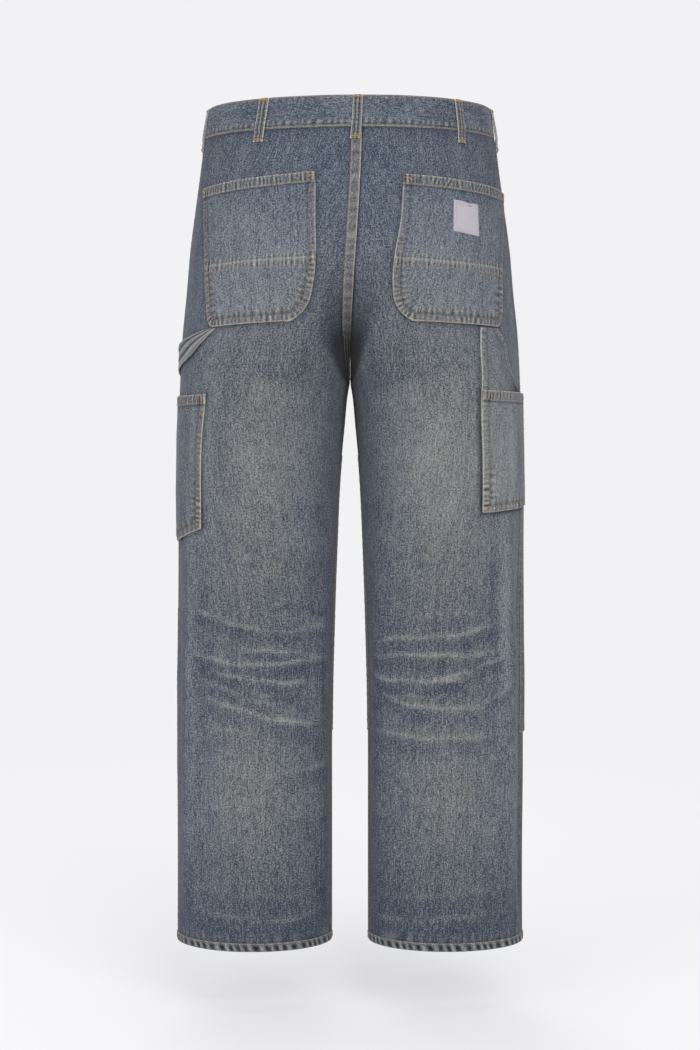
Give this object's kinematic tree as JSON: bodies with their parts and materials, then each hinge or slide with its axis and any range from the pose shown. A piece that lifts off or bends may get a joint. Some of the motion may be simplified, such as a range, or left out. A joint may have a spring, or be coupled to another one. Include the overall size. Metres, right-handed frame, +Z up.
{
  "type": "carpenter jeans",
  "caption": "Loose straight-leg work jeans with patch pockets on the seat, tool pockets and a hammer loop on the thighs and doubled knees, held open at the waist and hems.",
  "frame": {"origin": "middle of the waist, on the middle plane, halfway up the waistband at the sides", "axes": "+Z up along the legs towards the waist, -Y towards the wearer's front, +X towards the wearer's left"},
  "size_m": [0.4395, 0.2483, 1.0481],
  "materials": {
    "denim": "worn denim",
    "waistband denim": "worn denim",
    "belt loop denim": "worn denim",
    "pocket denim": "worn denim",
    "button metal": "satin",
    "label cloth": "woven"
  },
  "bodies": {
    "root": {"back_left": "denim", "back_right": "denim", "front_left": "denim", "front_right": "denim", "front_pocket_facing_left": "denim", "front_pocket_facing_right": "denim", "waistband": "waistband denim", "belt_loop_back": "belt loop denim", "belt_loop_back_left": "belt loop denim", "belt_loop_back_right": "belt loop denim", "belt_loop_side_left": "belt loop denim", "belt_loop_side_right": "belt loop denim", "belt_loop_front_left": "belt loop denim", "belt_loop_front_right": "belt loop denim", "back_pocket_left": "pocket denim", "back_pocket_right": "pocket denim", "tool_pocket": "pocket denim", "tool_pocket_front": "pocket denim", "ruler_pocket": "pocket denim", "hammer_loop": "pocket denim", "knee_panel_left": "pocket denim", "knee_panel_right": "pocket denim", "fly": "pocket denim", "waist_button": "button metal", "pocket_label": "label cloth"}
  },
  "joints": []
}
